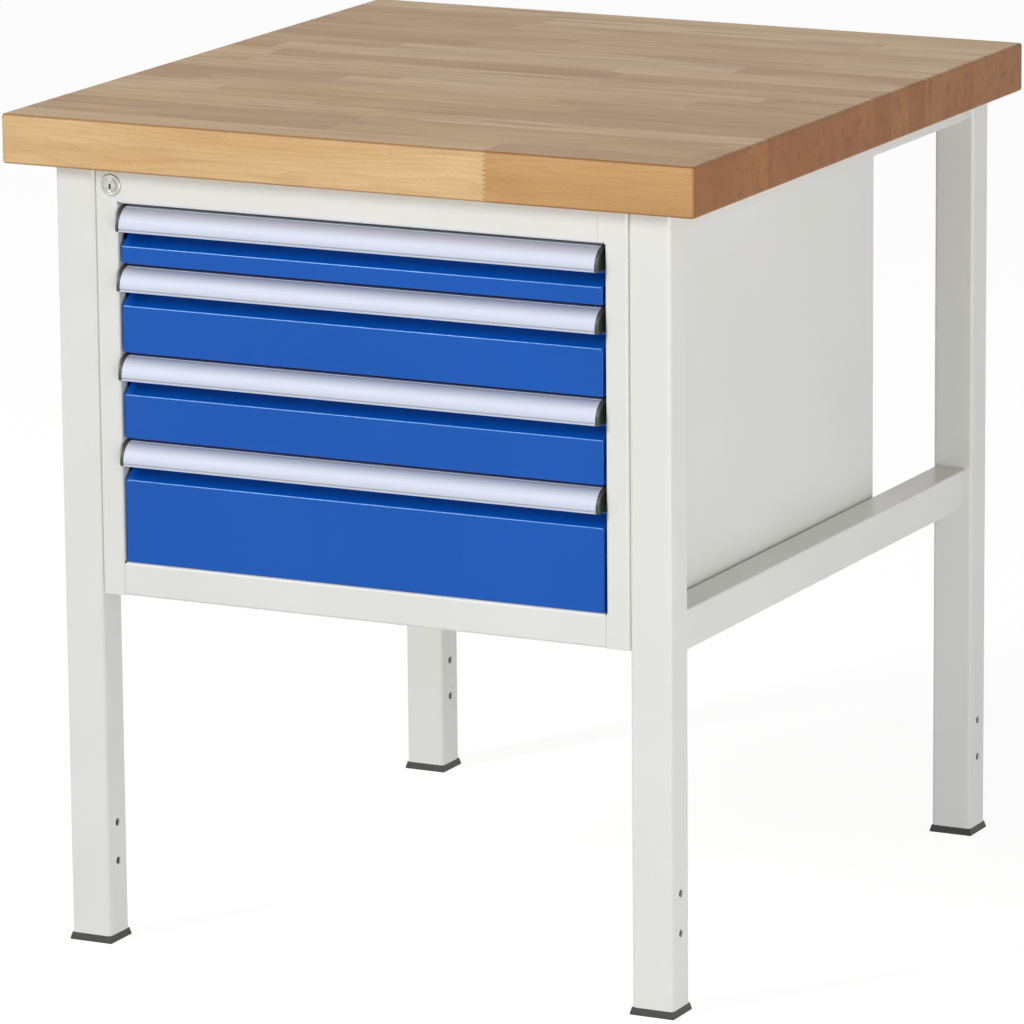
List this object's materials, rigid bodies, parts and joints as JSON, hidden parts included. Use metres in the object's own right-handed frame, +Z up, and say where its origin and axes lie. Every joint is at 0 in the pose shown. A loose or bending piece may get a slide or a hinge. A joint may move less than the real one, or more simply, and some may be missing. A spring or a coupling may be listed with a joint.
{
  "type": "workbench",
  "caption": "Workbench with a beech worktop, a light grey steel frame and a cabinet of blue drawers with full-width aluminium handles and a lock.",
  "frame": {"origin": "on the floor, under the middle of the worktop", "axes": "+Z up, +X to the right along the drawer front, +Y towards the back; the drawers open towards -Y"},
  "size_m": [0.75, 0.8, 0.84],
  "materials": {
    "beech": "oiled glued staves",
    "grey_paint": "satin powder coat",
    "blue_paint": "satin powder coat",
    "anodised_aluminium": "extruded, satin anodised",
    "grey_plastic": "moulded, satin",
    "black_plastic": "moulded, matte",
    "satin_nickel": "satin nickel plate",
    "zinc_steel": "bright zinc plate"
  },
  "bodies": {
    "bench": {"worktop": "beech", "front_left_leg": "grey_paint", "front_right_leg": "grey_paint", "rear_left_leg": "grey_paint", "rear_right_leg": "grey_paint", "front_left_foot": "black_plastic", "front_right_foot": "black_plastic", "rear_left_foot": "black_plastic", "rear_right_foot": "black_plastic", "left_lower_rail": "grey_paint", "right_lower_rail": "grey_paint", "left_upper_rail": "grey_paint", "right_upper_rail": "grey_paint", "rear_cross_rail": "grey_paint", "worktop_screws": "zinc_steel", "cabinet_left_side": "grey_paint", "cabinet_right_side": "grey_paint", "front_top_rail": "grey_paint", "front_bottom_rail": "grey_paint", "cabinet_floor": "grey_paint", "cabinet_back": "grey_paint", "cabinet_roof": "grey_paint", "left_runner_posts": "grey_paint", "right_runner_posts": "grey_paint", "cabinet_bolts": "zinc_steel", "drawer_1_cabinet_runners": "zinc_steel", "drawer_2_cabinet_runners": "zinc_steel", "drawer_3_cabinet_runners": "zinc_steel", "drawer_4_cabinet_runners": "zinc_steel", "lock_housing": "satin_nickel", "lock_nut": "satin_nickel", "lock_bar_studs": "zinc_steel"},
    "drawer_1": {"drawer_1_front": "blue_paint", "drawer_1_handle": "anodised_aluminium", "drawer_1_handle_caps": "grey_plastic", "drawer_1_tray": "grey_paint", "drawer_1_tray_runners": "zinc_steel"},
    "drawer_1_middle": {"drawer_1_middle_runners": "zinc_steel"},
    "drawer_2": {"drawer_2_front": "blue_paint", "drawer_2_handle": "anodised_aluminium", "drawer_2_handle_caps": "grey_plastic", "drawer_2_tray": "grey_paint", "drawer_2_tray_runners": "zinc_steel"},
    "drawer_2_middle": {"drawer_2_middle_runners": "zinc_steel"},
    "drawer_3": {"drawer_3_front": "blue_paint", "drawer_3_handle": "anodised_aluminium", "drawer_3_handle_caps": "grey_plastic", "drawer_3_tray": "grey_paint", "drawer_3_tray_runners": "zinc_steel"},
    "drawer_3_middle": {"drawer_3_middle_runners": "zinc_steel"},
    "drawer_4": {"drawer_4_front": "blue_paint", "drawer_4_handle": "anodised_aluminium", "drawer_4_handle_caps": "grey_plastic", "drawer_4_tray": "grey_paint", "drawer_4_tray_runners": "zinc_steel"},
    "drawer_4_middle": {"drawer_4_middle_runners": "zinc_steel"},
    "lock_barrel": {"lock_core": "satin_nickel", "lock_cam": "zinc_steel"},
    "locking_bar": {"lock_bar": "zinc_steel"}
  },
  "joints": [
    {"name": "drawer_1_slide", "type": "slide", "parent": "bench", "child": "drawer_1", "axis": [0, -1, 0], "range_m": [0, 0.48]},
    {"name": "drawer_1_middle_slide", "type": "slide", "parent": "bench", "child": "drawer_1_middle", "axis": [0, -1, 0], "range_m": [0, 0.24]},
    {"name": "drawer_2_slide", "type": "slide", "parent": "bench", "child": "drawer_2", "axis": [0, -1, 0], "range_m": [0, 0.48]},
    {"name": "drawer_2_middle_slide", "type": "slide", "parent": "bench", "child": "drawer_2_middle", "axis": [0, -1, 0], "range_m": [0, 0.24]},
    {"name": "drawer_3_slide", "type": "slide", "parent": "bench", "child": "drawer_3", "axis": [0, -1, 0], "range_m": [0, 0.48]},
    {"name": "drawer_3_middle_slide", "type": "slide", "parent": "bench", "child": "drawer_3_middle", "axis": [0, -1, 0], "range_m": [0, 0.24]},
    {"name": "drawer_4_slide", "type": "slide", "parent": "bench", "child": "drawer_4", "axis": [0, -1, 0], "range_m": [0, 0.48]},
    {"name": "drawer_4_middle_slide", "type": "slide", "parent": "bench", "child": "drawer_4_middle", "axis": [0, -1, 0], "range_m": [0, 0.24]},
    {"name": "lock_turn", "type": "hinge", "parent": "bench", "child": "lock_barrel", "pos_m": [-0.2624, -0.383, 0.774], "axis": [0, 1, 0], "range_deg": [0, 90]},
    {"name": "locking_bar_slide", "type": "slide", "parent": "bench", "child": "locking_bar", "axis": [0, 0, -1], "range_m": [0, 0.0065]}
  ],
  "couplings": [
    {"joint": "drawer_1_middle_slide", "follows": "drawer_1_slide", "ratio": 0.5},
    {"joint": "drawer_2_middle_slide", "follows": "drawer_2_slide", "ratio": 0.5},
    {"joint": "drawer_3_middle_slide", "follows": "drawer_3_slide", "ratio": 0.5},
    {"joint": "drawer_4_middle_slide", "follows": "drawer_4_slide", "ratio": 0.5},
    {"joint": "lock_turn", "follows": "locking_bar_slide", "rad_per_m": 241.66}
  ]
}
